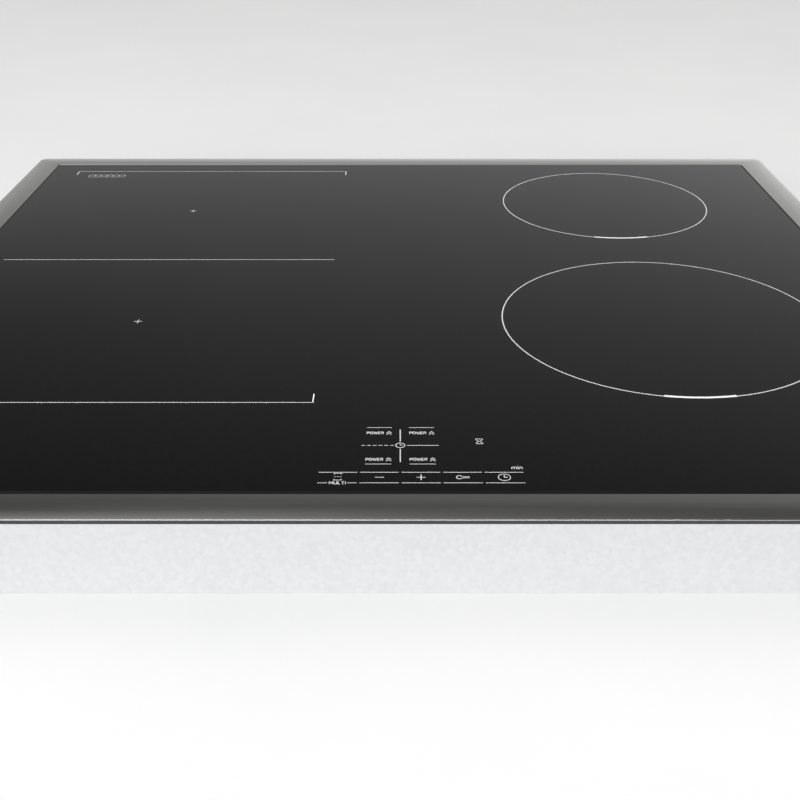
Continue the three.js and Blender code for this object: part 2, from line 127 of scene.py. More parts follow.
class Parts:
    """The vertices and faces of one piece, with a material number per face."""

    def __init__(self):
        self.points, self.faces, self.slots = [], [], []

    def loft(self, rings, slot=0, closed=False, caps=False):
        """Joins rings of equal length one to the next; closed joins the last to the first."""
        base, n, count = len(self.points), len(rings[0]), len(rings)
        faces = []
        for k in range(count if closed else count - 1):
            a, b = k * n, ((k + 1) % count) * n
            faces += [(a + i, a + (i + 1) % n, b + (i + 1) % n, b + i) for i in range(n)]
        if caps:
            faces += [range(n - 1, -1, -1), range((count - 1) * n, count * n)]
        self.points += [tuple(p) for ring in rings for p in ring]
        self.faces += [tuple(base + i for i in face) for face in faces]
        self.slots += [slot] * len(faces)
        return self

    def block(self, low, high, ease=0.4, slot=0, turn=0):
        """A box with eased edges between two corners, turned about its own upright."""
        (x0, y0, z0), (x1, y1, z1) = low, high
        c, s = cos(turn), sin(turn)
        e = min(ease, (x1 - x0) / 3, (y1 - y0) / 3, (z1 - z0) / 3)
        cx, cy = (x0 + x1) / 2, (y0 + y1) / 2
        rings = []
        for z, inset in ((z0, e), (z0 + e, 0), (z1 - e, 0), (z1, e)):
            loop = rounded_loop((x1 - x0) / 2 - inset, (y1 - y0) / 2 - inset, e, 2)
            rings.append([(cx + x * c - y * s, cy + x * s + y * c, z) for x, y in loop])
        return self.loft(rings, slot, caps=True)

    def lathe(self, profile, centre, segments=24, slot=0, axis="z", closed=False):
        """A profile of (radius, height) turned about an axis; a closed one makes a ring."""
        self.loft([[turned(centre, r * cos(a), r * sin(a), h, axis) for a in turns(segments)]
            for r, h in profile], slot, closed, not closed)

    def tube(self, path, radius, sides=8, slot=0, flat=1):
        """A bar along a path; flat squeezes its section across the path's own up."""
        rings = []
        points = [Vector(p) for p in path]
        side = None
        for i, p in enumerate(points):
            ahead = heading(points, i)
            if side is None:
                side = ahead.cross(Vector((0, 0, 1) if abs(ahead.z) < 0.9 else (1, 0, 0)))
                side.normalize()
            side = (side - ahead * side.dot(ahead)).normalized()
            lift = side.cross(ahead)
            rings.append([p + side * (radius * cos(a)) + lift * (radius * flat * sin(a))
                for a in turns(sides, 0.5)])
        return self.loft(rings, slot, caps=True)


def add_object(name, data):
    obj = bpy.data.objects.new(name, data)
    bpy.context.scene.collection.objects.link(obj)
    return obj


def make_piece(name, parts, materials, body=BODY, smooth=35, replaces=()):
    """Turns gathered parts into an object that rides on a body."""
    mesh = bpy.data.meshes.new(name)
    mesh.from_pydata([(x * MM, y * MM, z * MM) for x, y, z in parts.points], [], parts.faces)
    mesh.polygons.foreach_set("material_index", parts.slots)
    shell = bmesh.new()
    shell.from_mesh(mesh)
    bmesh.ops.recalc_face_normals(shell, faces=shell.faces)
    shell.to_mesh(mesh)
    shell.free()
    obj = add_object(name, mesh)
    for material in materials:
        mesh.materials.append(material)
    mesh.shade_smooth()
    mesh.set_sharp_from_angle(angle=radians(smooth))
    if body:
        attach(obj, body)
    if replaces:
        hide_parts(*replaces)
    return obj


# ---- materials ----
class Nodes:
    """Short ways to add and link the nodes of one tree."""

    def __init__(self, owner):
        owner.use_nodes = True
        self.tree = owner.node_tree

    def node(self, kind, output, sockets=(), **settings):
        """Adds a node, feeds its sockets and gives one output."""
        node = self.tree.nodes.new("ShaderNode" + kind)
        for key, value in settings.items():
            setattr(node, key, value)
        for key, value in dict(sockets).items():
            self.feed(node.inputs[key], value)
        return node.outputs[output]

    def feed(self, socket, value):
        if isinstance(value, bpy.types.NodeSocket):
            self.tree.links.new(value, socket)
        else:
            socket.default_value = value

    def ramp(self, source, stops):
        """Maps a 0 to 1 value through colour stops of (position, colour)."""
        mapped = self.node("ValToRGB", "Color", {"Fac": source})
        elements = mapped.node.color_ramp.elements
        while len(elements) < len(stops):
            elements.new(0.5)
        for element, (position, colour) in zip(elements, stops):
            element.position = position
            element.color = (*colour, 1)
        return mapped

    def level(self, source, low, high, start, end):
        """Maps a value between start and end to low and high."""
        return self.node("MapRange", "Result", {"Value": source, "From Min": start, "From Max": end,
            "To Min": low, "To Max": high})


class Finish(Nodes):
    """One material with a Principled shader, its patterns in object millimetres."""

    def __init__(self, name, metallic=0, **constants):
        self.material = bpy.data.materials.new(name)
        super().__init__(self.material)
        self.shader = self.tree.nodes["Principled BSDF"].inputs
        self.shader["Metallic"].default_value = metallic
        for key, value in constants.items():
            self.shader[key.replace("_", " ")].default_value = value

    def place(self, scale=(1, 1, 1), turn=(0, 0, 0)):
        """Object coordinates in millimetres, stretched by scale."""
        return self.node("Mapping", "Vector", {"Vector": self.node("TexCoord", "Object"),
            "Scale": [s / MM for s in scale], "Rotation": turn})

    def noise(self, scale, detail=3, roughness=0.55, turn=(0, 0, 0)):
        """Noise at one scale, or at one for each axis."""
        scale = scale if isinstance(scale, tuple) else (scale,) * 3
        return self.node("TexNoise", "Fac", {"Vector": self.place(scale, turn), "Scale": 1,
            "Detail": detail, "Roughness": roughness})

    def colour_from(self, source, dark, light, start=0.3, end=0.7):
        self.feed(self.shader["Base Color"], self.ramp(source, [(start, dark), (end, light)]))

    def bump_from(self, source, height_mm, strength=0.4):
        self.feed(self.shader["Normal"], self.node("Bump", "Normal", {
            "Height": source, "Strength": strength, "Distance": height_mm * MM}))

    def rough_from(self, source, low, high):
        """The last step: it gives back the finished material."""
        self.feed(self.shader["Roughness"], self.level(source, low, high, 0.3, 0.7))
        return self.material


def glass_black():
    made = Finish("glass_ceramic_black", IOR=1.5)
    made.colour_from(made.noise(0.35), (0.0018, 0.0018, 0.002), (0.0032, 0.0032, 0.0034))
    return made.rough_from(made.noise(0.02, 2), 0.035, 0.06)


def fired_print(name, dark, light):
    made = Finish(name)
    made.colour_from(made.noise(3), (dark,) * 3, (light,) * 3)
    return made.rough_from(made.noise(5), 0.36, 0.5)


def brushed(name, along, colour=(0.62, 0.62, 0.61), spread=0.04, roughness=(0.11, 0.16)):
    """Steel brushed along one axis: long fine streaks in tone, gloss and height."""
    def stretch(long_scale, cross_scale):
        return tuple(long_scale if axis == along else cross_scale for axis in "xyz")

    made = Finish(name, metallic=1)
    fine = made.noise(stretch(0.012, 3.2), 4, 0.65)
    made.colour_from(fine, [c - spread for c in colour], [c + spread for c in colour])
    made.bump_from(fine, 0.0008)
    return made.rough_from(made.noise(stretch(0.006, 0.35), 2), *roughness)


def galvanised():
    """Fine pale spangle, barely told apart, with a soft rolled grain."""
    made = Finish("galvanised_sheet", metallic=0.45)
    spangle = made.node("TexVoronoi", "Color", {"Vector": made.place((0.45,) * 3), "Scale": 1})
    grain = made.noise((0.25, 0.25, 0.6))
    made.colour_from(spangle, (0.645, 0.655, 0.665), (0.69, 0.7, 0.71), 0.1, 0.9)
    made.bump_from(grain, 0.015, 0.25)
    return made.rough_from(grain, 0.42, 0.52)


def plain(name, dark, light, scale=1, roughness=(0.45, 0.6), bump=0.02, metallic=0,
          **constants):
    """A moulded or cast surface, slightly uneven in tone, gloss and height."""
    made = Finish(name, metallic, **constants)
    grain = made.noise(scale, 4)
    made.colour_from(grain, dark, light)
    made.bump_from(grain, bump)
    return made.rough_from(made.noise(scale / 4, 2), *roughness)


def litz(name, dark, light):
    """Many enamelled strands: fine slanting bands over the bundle."""
    made = Finish(name, metallic=0.75)
    strands = made.noise((1.6, 1.6, 6), 4, 0.7, (0.5, 0.4, 0.6))
    made.colour_from(strands, dark, light, 0.35, 0.65)
    made.bump_from(strands, 0.12, 0.7)
    return made.rough_from(strands, 0.3, 0.5)


def circuit_board():
    """Green solder resist over long thin tracks that stand a little proud."""
    made = Finish("circuit_board_green")
    tracks = made.node("TexBrick", "Fac", {"Vector": made.place(), "Scale": 1, "Mortar Size": 0.28,
        "Mortar Smooth": 0.3, "Brick Width": 13, "Row Height": 2.3}, offset=0.37, squash=0.55,
        squash_frequency=3)
    made.colour_from(tracks, (0.011, 0.062, 0.033), (0.03, 0.145, 0.076))
    made.bump_from(tracks, 0.035)
    return made.rough_from(made.noise(0.4), 0.34, 0.48)


GLASS = glass_black()
PRINT = fired_print("fired_print_grey", 0.62, 0.74)
PRINT_WHITE = fired_print("fired_print_white", 0.86, 0.93)
STEEL_X = brushed("stainless_brushed_x", "x")
STEEL_Y = brushed("stainless_brushed_y", "y")
SPRING = brushed("spring_strip", "z", (0.4, 0.41, 0.42), 0.05, (0.3, 0.45))
ALUMINIUM = brushed("mill_aluminium", "y", (0.7, 0.71, 0.72), 0.04, (0.32, 0.45))
SHEET_STEEL = galvanised()
SATIN = (0.25, 0.4)
SLEEK = (0.4, 0.5)
ZINC = plain("zinc_plated", (0.5, 0.51, 0.5), (0.62, 0.62, 0.6), 1.2, SATIN, 0.01, 1)
TIN = plain("tinned_metal", (0.62, 0.63, 0.64), (0.74, 0.75, 0.75), 2, SATIN, 0.01, 1)
SILICONE = plain("black_silicone", (0.004,) * 3, (0.008,) * 3, 1, (0.5, 0.65),
                 Specular_IOR_Level=0.2)
FOAM = plain("seal_foam", (0.03, 0.03, 0.032), (0.05, 0.05, 0.053), 3, (0.8, 0.95), 0.12)
BLACK = plain("black_moulding", (0.014, 0.014, 0.015), (0.026, 0.026, 0.028), 2.2, (0.42, 0.58))
GREY = plain("grey_moulding", (0.2, 0.21, 0.22), (0.27, 0.28, 0.29), 2.2)
WHITE = plain("white_moulding", (0.6, 0.59, 0.55), (0.72, 0.71, 0.67), 1.6, (0.4, 0.55))
BLUE = plain("blue_epoxy", (0.012, 0.05, 0.17), (0.02, 0.075, 0.23), 1, SATIN)
SLEEVE = plain("capacitor_sleeve", (0.015, 0.018, 0.03), (0.03, 0.034, 0.05), 0.8, SATIN)
FERRITE = plain("ferrite", (0.03, 0.029, 0.028), (0.055, 0.053, 0.05), 1.4, (0.5, 0.7), 0.03)
MICA = plain("mica_sheet", (0.46, 0.4, 0.28), (0.66, 0.6, 0.46), 0.35, (0.45, 0.65), 0.03)
COPPER = litz("copper_litz", (0.36, 0.15, 0.07), (0.66, 0.33, 0.17))
LEAD_RED = plain("red_insulation", (0.33, 0.02, 0.015), (0.42, 0.035, 0.025), 1, SLEEK)
LEAD_BLUE = plain("blue_insulation", (0.02, 0.07, 0.3), (0.03, 0.1, 0.38), 1, SLEEK)
LEAD_GREEN = plain("earth_insulation", (0.28, 0.36, 0.02), (0.36, 0.46, 0.03), 1, SLEEK)
LEAD_WHITE = plain("glass_sleeving", (0.55, 0.54, 0.5), (0.7, 0.69, 0.64), 2.5, (0.6, 0.75))
BOARD = circuit_board()


def dress_nodes():
    """Gives every CAD node its finish and eases its sharp edges."""
    finishes = {"glass_ceramic": GLASS, "trim_steel": STEEL_X, "galvanised_sheet": SHEET_STEEL,
        "spring_steel": SPRING, "deck_aluminium": ALUMINIUM, "silicone": SILICONE,
        "foam_seal": FOAM, "black_plastic": BLACK, "grey_plastic": GREY, "copper_litz": COPPER,
        "mica_sheet": MICA, "circuit_board": BOARD, "white_ceramic": WHITE}
    slots = {part["node"]: part["material_slot"] for part in frame["record"]["subparts"]}
    for name, obj in NODES.items():
        obj.data.materials.clear()
        obj.data.materials.append(finishes[slots[name]])
        obj.data.shade_flat()
        ease = obj.modifiers.new("ease", "BEVEL")
        ease.width = 0.25 * MM
        ease.segments = 2
        ease.limit_method = "ANGLE"
        ease.angle_limit = radians(50)


# ---- camera, floor and light ----
def look_along(obj, direction):
    obj.rotation_mode = "QUATERNION"
    obj.rotation_quaternion = Vector(direction).to_track_quat("-Z", "Y")


def make_camera():
    """A person's view down over the control edge."""
    above_glass = 257.2
    before_trim = 371
    pitch = radians(28.6)
    data = bpy.data.cameras.new("camera")
    data.lens = 49.67
    data.clip_start, data.clip_end = 0.01, 60
    camera = add_object("camera", data)
    camera.location = Vector((0, TRIM_LOW.y - before_trim, TOP + above_glass)) * MM
    look_along(camera, (0, cos(pitch), -sin(pitch)))
    bpy.context.scene.camera = camera


def make_floor():
    half = 14
    mesh = bpy.data.meshes.new("floor")
    corners = [(half * x, half * y, 0) for x, y in ((-1, -1), (1, -1), (1, 1), (-1, 1))]
    mesh.from_pydata(corners, [], [(0, 1, 2, 3)])
    floor = add_object("floor", mesh)
    made = Finish("pale_floor", Roughness=0.7)
    made.colour_from(made.noise(0.004), (0.8, 0.8, 0.8), (0.83, 0.83, 0.825))
    mesh.materials.append(made.material)


def area_light(name, place, target, size, power, shows_in_gloss):
    """A rectangular light; its places and sizes are in metres."""
    data = bpy.data.lights.new(name, "AREA")
    data.shape = "RECTANGLE"
    data.size, data.size_y = size
    data.energy = power
    light = add_object(name, data)
    light.location = place
    light.visible_glossy = shows_in_gloss
    look_along(light, Vector(target) - Vector(place))


def make_lights():
    area_light("ceiling", (0, 0, 20), (0, 0, 0), (60, 60), 5700, False)
    area_light("front_fill", (-0.5, -2.7, 1), (0, 0, 0.02), (3, 1), 66, False)
    area_light("edge_light", (-0.3, -1.6, 3), (0, -0.25, 0.05), (3, 0.5), 30, True)


def make_world():
    """Pale near the horizon, grey overhead; brighter on the right low down, on the left high up."""
    world = bpy.data.worlds.new("studio")
    bpy.context.scene.world = world
    sky = Nodes(world)
    middle_grey = 0.42
    up = sky.node("SeparateXYZ", "Z", {"Vector": sky.node("TexCoord", "Generated")})
    side = sky.level(up.node.outputs["X"], 0, 1, -0.5, 0.5)

    def greys(source, *stops):
        return sky.ramp(source, [(position, (value,) * 3) for position, value in stops])

    def change(first, second, start, end):
        """From the first shade to the second as the height passes from start to end."""
        return sky.node("MixRGB", "Color", {"Fac": sky.level(up, 0, 1, start, end), "Color1": first,
            "Color2": second})

    height = greys(up, (0, 0.86), (0.14, 0.66), (0.26, 0.47), (0.33, 0.355), (0.42, 0.25),
        (0.54, 0.14), (0.61, 0.1), (0.69, 0.17), (1, 0.5))
    low = greys(side, (0.1, 0.35), (0.2, 0.36), (0.5, 0.42), (0.7, 0.46), (0.9, 0.58))
    middle = greys(side, (0.1, 0.22), (0.2, 0.27), (0.35, 0.36), (0.5, 0.405), (0.7, 0.44),
        (0.9, 0.47))
    high = greys(side, (0.1, 0.9), (0.25, 0.75), (0.5, 0.42), (0.8, 0.25))
    shade = change(change(low, middle, 0.29, 0.4), high, 0.57, 0.68)
    both = sky.node("VectorMath", "Vector", {0: height, 1: shade}, operation="MULTIPLY")
    sky.feed(sky.tree.nodes["Background"].inputs["Color"], sky.node(
        "VectorMath", "Vector", {0: both, "Scale": 1 / middle_grey}, operation="SCALE"))
    bpy.context.scene.view_settings.view_transform = "Standard"


# ---- glass and trim ----
def round_inner_edge(section, segments=8):
    """A section of (distance out, height, corner radius), carried round the trim's inner edge."""
    return Parts().loft([
        [(x, y, z) for x, y in rounded_loop(INNER.x + out, INNER.y + out, r, segments)]
        for out, z, r in section], closed=True)


def make_glass():
    half_x, half_y = GLASS_HIGH.x - 0.2, GLASS_HIGH.y - 0.2
    edge = 0.15
    rings = []
    for z, inset in ((GLASS_LOW.z, edge), (GLASS_LOW.z + edge, 0), (TOP - edge, 0),
            (TOP - edge * 0.3, edge * 0.3), (TOP, edge)):
        loop = rounded_loop(half_x - inset, half_y - inset, 2 - inset)
        rings.append([(x, y, z) for x, y in loop])
    make_piece("glass_ceramic_plate", Parts().loft(rings, caps=True), [GLASS],
        smooth=15, replaces=["glass_plate"])


def trim_section():
    """The folded strip: bevelled inner edge, low crown, rounded nose, web and ledge."""
    surface, low = TRIM_HIGH.z - 0.05, TRIM_LOW.z
    web_top, ledge_top = TRIM_HIGH.z - 0.9, low + 1.4
    under = TRIM_HIGH.z - 1.2
    inner_drop, outer_drop, crest = 0.05, 0.6, 0.35
    bevel, nose = 0.33, 0.4
    section = [(JOINT, web_top, 2), (JOINT, surface - inner_drop - bevel, 2)]
    start, end = JOINT + bevel, STRIP - nose
    steps = 10
    for i in range(steps + 1):
        across = i / steps
        if across < crest:
            drop = inner_drop * (1 - across / crest) ** 2
        else:
            drop = outer_drop * ((across - crest) / (1 - crest)) ** 2
        section.append((start + (end - start) * across, surface - drop, 2 + 2.8 * across))
    centre = surface - outer_drop - nose
    for i in range(1, 6):
        a = pi / 2 * (1 - i / 5)
        section.append((end + nose * cos(a), centre + nose * sin(a), 5))
    section += [(STRIP - 0.12, under + 0.02, 5), (STRIP - 0.3, under, 4.8), (1.5, under, 3.5),
        (1.5, low, 3.5), (-8.5, low, 2), (-8.5, ledge_top, 2), (JOINT, ledge_top, 2)]
    return section


def make_trim():
    """One folded strip mitred at the corners, brushed along each side."""
    segments = 8
    parts = round_inner_edge(trim_section(), segments)
    per_corner = segments + 1
    for f in range(len(parts.faces)):
        corner, along = divmod(f % (4 * per_corner), per_corner)
        past_mitre = along >= segments / 2
        parts.slots[f] = int((corner % 2 == 0) != past_mitre)
    make_piece("trim_strip", parts, [STEEL_X, STEEL_Y], smooth=25,
        replaces=["trim_frame"])


def make_seal_with_painted_shade():
    """The gasket under the strip; not yet pressed flat, it hangs below the rim. Its dark lip below
    the rim is also painted shade: dark foam standing in for the shadow gap under the trim's front
    edge.
    """
    rim, high = TRIM_HIGH.z - 2, TRIM_HIGH.z - 1.22
    outer = STRIP - 0.25
    # The rings that reach below the rim make the dark foam lip, a painted shadow line along the
    # trim's edge.
    parts = round_inner_edge([(8, rim, 3), (8, high, 3), (STRIP - 0.5, high, 4.6),
        (outer, high - 0.4, 4.7), (outer, rim - 0.5, 4.7), (STRIP - 0.5, rim - 1.1, 4.6),
        (STRIP - 1.4, rim - 1.3, 4.2), (STRIP - 2.6, rim, 4)])
    make_piece("worktop_gasket", parts, [FOAM], replaces=["worktop_seal"])


def make_bond():
    """Silicone under the glass's edge, with its bead in the joint."""
    low, high = TRIM_LOW.z + 1.45, GLASS_LOW.z - 0.02
    inner = GLASS_HIGH.x - INNER.x - 0.2
    at_glass, at_strip = inner + 0.02, JOINT - 0.02
    bead = [(-7, low), (-7, high), (at_glass, high), (at_glass, TOP - 0.22),
            ((JOINT + inner) / 2, TOP - 0.5), (at_strip, TOP - 0.45), (at_strip, low)]
    parts = round_inner_edge([(out, z, 2) for out, z in bead])
    make_piece("glass_bond_bead", parts, [SILICONE], replaces=["glass_bond"])


# ---- printed marks ----
class Ink(Parts):
    """Marks fired onto the glass: x from the middle, y back from the glass's front edge."""

    FRONT = GLASS_LOW.y - 0.4
    HEIGHTS = (TOP + 0.004, TOP + 0.03)

    def outline(self, points):
        area = sum(a[0] * b[1] - b[0] * a[1] for a, b in zip(points, points[1:] + points[:1]))
        loop = points if area > 0 else points[::-1]
        self.loft([[(x, y + self.FRONT, z) for x, y in loop] for z in self.HEIGHTS], caps=True)

    def patch(self, x0, x1, y0, y1):
        self.outline([(x0, y0), (x1, y0), (x1, y1), (x0, y1)])

    def bar(self, x0, x1, y, width):
        self.patch(x0, x1, y - width / 2, y + width / 2)

    def post(self, x, y0, y1, width):
        self.patch(x - width / 2, x + width / 2, y0, y1)

    def stroke(self, points, width):
        """A line of straight pieces with square joints."""
        left, right = [], []
        path = [Vector(p) for p in points]
        for i, p in enumerate(path):
            before = (p - path[i - 1]).normalized() if i else (path[1] - p).normalized()
            after = (path[i + 1] - p).normalized() if i + 1 < len(path) else before
            normal = Vector((-(before.y + after.y), before.x + after.x)).normalized()
            reach = width / 2 / max(0.35, normal.dot(Vector((-before.y, before.x))))
            left.append(tuple(p + normal * reach))
            right.append(tuple(p - normal * reach))
        self.outline(right + left[::-1])

    def arc(self, cx, cy, r, start, end, width, steps):
        """A curved line from one angle to another, in degrees."""
        angles = [radians(start + (end - start) * i / steps) for i in range(steps + 1)]
        outer, inner = ([(cx + reach * cos(a), cy + reach * sin(a)) for a in angles]
            for reach in (r + width / 2, r - width / 2))
        self.outline(outer + inner[::-1])

    def ring(self, cx, cy, r, width, segments=48):
        low, high = self.HEIGHTS
        outer, inner = r + width / 2, r - width / 2
        self.lathe([(outer, low), (outer, high), (inner, high), (inner, low)],
            (cx, cy + self.FRONT, 0), segments, closed=True)

    def clock(self, x, y, r, width, up, across, hands):
        """A face with one hand up and one to the right."""
        self.ring(x, y, r, width)
        self.stroke([(x, y + up), (x, y), (x + across, y)], hands)

    def word(self, text, x0, x1, y0, y1, width):
        """A word in plain straight strokes, fitted to a box."""
        letters = [LETTERS[c] for c in text]
        gap = 0.42
        total = sum(wide for wide, _ in letters) + gap * (len(text) - 1)
        scale = (x1 - x0 - width) / total
        x = x0 + width / 2
        for wide, lines in letters:
            for line in lines:
                self.stroke([(x + u * scale, y0 + width / 2 + v * (y1 - y0 - width))
                    for u, v in line], width)
            x += (wide + gap) * scale


STEM = [(0, 0), (0, 1)]
BOWL = [(0, 1), (0.66, 1), (0.9, 0.87), (0.9, 0.6), (0.66, 0.46), (0, 0.46)]
LETTERS = {
    "P": (0.9, [STEM, BOWL]),
    "O": (1.1, [[(0.3, 0), (0.8, 0), (1.1, 0.26), (1.1, 0.74), (0.8, 1), (0.3, 1), (0, 0.74),
                 (0, 0.26), (0.3, 0)]]),
    "W": (1.4, [[(0, 1), (0.34, 0), (0.7, 0.8), (1.06, 0), (1.4, 1)]]),
    "E": (0.8, [[(0.8, 1), (0, 1), (0, 0), (0.8, 0)], [(0, 0.5), (0.7, 0.5)]]),
    "R": (0.95, [STEM, BOWL, [(0.42, 0.46), (0.95, 0)]]),
    "M": (1.2, [[(0, 0), (0, 1), (0.6, 0.3), (1.2, 1), (1.2, 0)]]),
    "U": (1, [[(0, 1), (0, 0.25), (0.25, 0), (0.75, 0), (1, 0.25), (1, 1)]]),
    "L": (0.75, [[(0, 1), (0, 0), (0.75, 0)]]),
    "T": (0.95, [[(0.475, 0), (0.475, 1)], [(0, 1), (0.95, 1)]]),
    "I": (0.1, [[(0.05, 0), (0.05, 1)]]),
    "m": (1.5, [[(0, 0), (0, 0.72)], [(0, 0.6), (0.5, 0.72), (0.75, 0.55), (0.75, 0)],
                [(0.75, 0.6), (1.25, 0.72), (1.5, 0.55), (1.5, 0)]]),
    "i": (0.1, [[(0.05, 0), (0.05, 0.72)], [(0.05, 0.92), (0.05, 1.04)]]),
    "n": (0.8, [[(0, 0), (0, 0.72)], [(0, 0.6), (0.52, 0.72), (0.8, 0.55), (0.8, 0)]]),
}


def zone_marks(ink, bold):
    """Two round zones with a heavier front arc, and the combined zone of two fields."""
    round_x, left, right = 147.3, -251.6, -41.7
    chord = 35.6
    for y, r in ((173.5, 89.8), (378.9, 72.3)):
        half = degrees(asin(chord / 2 / r))
        ink.arc(round_x, y, r, -90 + half, 270 - half, 0.7, 150)
        bold.arc(round_x, y, r - 0.35, -90 - half, -90 + half, 1.75, 14)
    line, tick, cross = 0.51, 8.7, 2.3
    for y, inward in ((79.1, 1), (456.3, -1)):
        ink.bar(left, right, y, line)
        for x in (left + 0.31, right - 0.58):
            y0, y1 = sorted((y - inward * 0.35, y + inward * tick))
            bold.post(x, y0, y1, 0.62)
    ink.bar(left, right, 267.7, line)
    for y in (173.5, 361.8):
        x = (left + right) / 2
        ink.bar(x - cross, x + cross, y, 0.5)
        ink.post(x, y - cross, y - 0.25, 0.5)
        ink.post(x, y + 0.25, y + cross, 0.5)


def coil_sign(ink):
    """A plain coil pictogram over a short rule, in the rear left corner."""
    x, y = -238.5, 444.6
    for i in range(6):
        ink.arc(x + i * 4.6, y, 2.6, -20, 200, 0.5, 14)
    ink.bar(x - 2.8, x + 25.9, y - 2.6, 0.45)


def power_label(ink, x, y):
    """A booster field's word and two open arrowheads pointing back."""
    ink.word("POWER", x, x + 8, y - 1.15, y + 1.15, 0.4)
    left, right = x + 9.2, x + 11.5
    low, high = y - 1.45, y + 1.6
    for base in (low, low + (high - low) * 0.48):
        ink.stroke([(left, base), ((left + right) / 2, base + (high - low) * 0.4), (right, base)],
            0.4)


def zone_selector(ink):
    """The four zone fields round a small clock, with their bars and link lines."""
    clock_x, link_y = 0.12, 38.6
    ink.post(clock_x, 42.1, 53, 0.5)
    ink.post(clock_x, 24.3, 35.5, 0.5)
    ink.clock(clock_x, 38.7, 2.05, 0.4, 1.5, 1.1, 0.38)
    dash, gap = 1.75, 0.84
    for i in range(6):
        start = -17.5 + i * (dash + gap)
        ink.bar(start, start + dash, link_y, 0.36)
    ink.bar(3.2, 17.5, link_y, 0.36)
    for left in (-15.4, 4.2):
        for bar_y, label_y in ((54.7, 49.8), (22.7, 26.6)):
            ink.bar(left, left + 11.6, bar_y, 0.34)
            power_label(ink, left, label_y)


def hourglass(ink, x, y, half_x, half_y):
    for end in (-1, 1):
        ink.bar(x - half_x, x + half_x, y + end * half_y, 0.4)
    foot, waist = half_x * 0.8, half_x * 0.75
    for side in (-1, 1):
        ink.stroke([(x + side * across, y + half_y * up) for across, up in
            ((foot, -1), (waist, -0.5), (0.2, 0), (waist, 0.5), (foot, 1))], 0.34)


def lock_key(ink, x, y):
    """A key lying down: open bow at the left, blade with a small eye at the right."""
    ink.arc(x - 1.45, y, 1.3, 26, 334, 0.42, 22)
    for side in (-1, 1):
        ink.stroke([(x - 0.3, y + side * 0.6), (x + 1.9, y + side * 0.36)], 0.36)
    ink.ring(x + 2.3, y, 0.5, 0.36, 16)


def field_link(ink, x, y):
    """Two facing brackets with dots between: the combined zone's two fields."""
    half = 1.6
    for sign in (-1, 1):
        ink.stroke([(x + u * half, y + sign * v)
            for u, v in ((-1, 1.9), (-1, 2.7), (1, 2.7), (1, 1.9))], 0.34)
    for i in (-1, 0, 1):
        ink.bar(x + i * 1.25 - 0.32, x + i * 1.25 + 0.32, y, 0.36)


def key_row(ink):
    """Five touch keys between upper and lower rules."""
    pitch, first, width = 18.05, -35.4, 16.85
    top_y, low_y, icon_y = 15.9, 7.5, 11.9
    for i in range(5):
        x0 = first + i * pitch
        ink.bar(x0, x0 + width, top_y, 0.35)
        if i:
            ink.bar(x0, x0 + width, low_y, 0.35)
    ink.bar(first, first + 4.2, low_y, 0.35)
    ink.bar(first + width - 4, first + width, low_y, 0.35)
    ink.word("MULTI", first + 4.9, first + 12.3, low_y - 1.2, low_y + 1.2, 0.36)
    field_link(ink, -26.9, icon_y + 0.5)
    ink.bar(-10.85, -6.9, icon_y, 0.36)
    ink.bar(7.1, 11.1, icon_y, 0.36)
    ink.post(9.1, icon_y + 0.25, icon_y + 2.1, 0.5)
    ink.post(9.1, icon_y - 2.1, icon_y - 0.25, 0.5)
    lock_key(ink, 27.1, icon_y)
    ink.clock(45.05, icon_y, 2.62, 0.38, 1.9, 1.45, 0.42)
    ink.word("min", 48.7, 53.6, 18.3, 21.2, 0.36)


def make_marks():
    zones, bold, sign, controls = Ink(), Ink(), Ink(), Ink()
    zone_marks(zones, bold)
    coil_sign(sign)
    zone_selector(controls)
    hourglass(controls, 36.1, 42.2, 1.75, 2.15)
    key_row(controls)
    for name, ink, finish in (("zones", zones, PRINT), ("zone_ends", bold, PRINT_WHITE),
            ("coil_sign", sign, PRINT), ("controls", controls, PRINT)):
        make_piece("print_" + name, ink, [finish])


# ---- tray outside ----
def loft_on_wall(parts, side, centre, rings):
    """Joins (out, outline) rings round a centre (along, height) on one of the walls."""
    c, s = {"front": (1, 0), "right": (0, 1), "rear": (-1, 0), "left": (0, -1)}[side]
    wall = TRAY_HIGH.x if s else TRAY_HIGH.y
    u0, z0 = centre
    parts.loft([[(c * (u0 + u) + s * (wall + out), s * (u0 + u) - c * (wall + out), z0 + v)
        for u, v in loop] for out, loop in rings], caps=True)


def raised(parts, side, centre, half_along, half_high, steps, radius=2):
    """A pressed or laid-on shape: rounded outlines at (out, inset) on a wall."""
    loft_on_wall(parts, side, centre, [(out, rounded_loop(half_along - inset, half_high - inset,
        max(0.2, radius - inset), 5)) for out, inset in steps])


def wall_disc(parts, side, centre, profile, segments=20):
    """A turned shape standing out of a wall, as (radius, out)."""
    loft_on_wall(parts, side, centre, [(out, [(r * cos(a), r * sin(a)) for a in turns(segments)])
        for r, out in profile])


PAN_HEAD = [(4.4, -0.2), (4.4, 0.35), (4.1, 0.5), (3.1, 0.55), (3, 1.2), (2.5, 1.75),
            (1.35, 1.95), (1.2, 1.85), (1.1, 1.1), (0.05, 1.1)]
RIVET = [(1.9, 0.3), (1.9, 0.7), (1.3, 1.1), (0.05, 1.25)]
SPOT_WELD = [(2.1, 0.5), (2.1, 0.9), (1.5, 1), (1.3, 0.82), (0.05, 0.8)]
PRESSED = [(-0.3, 0), (0.1, 0.15), (0.55, 0.8), (0.75, 1.4), (0.8, 2.2)]
LAID_ON = [(-0.1, 0), (0.55, 0), (0.75, 0.25)]
PLATE = [(-0.1, 0), (0.35, 0), (0.45, 0.15)]


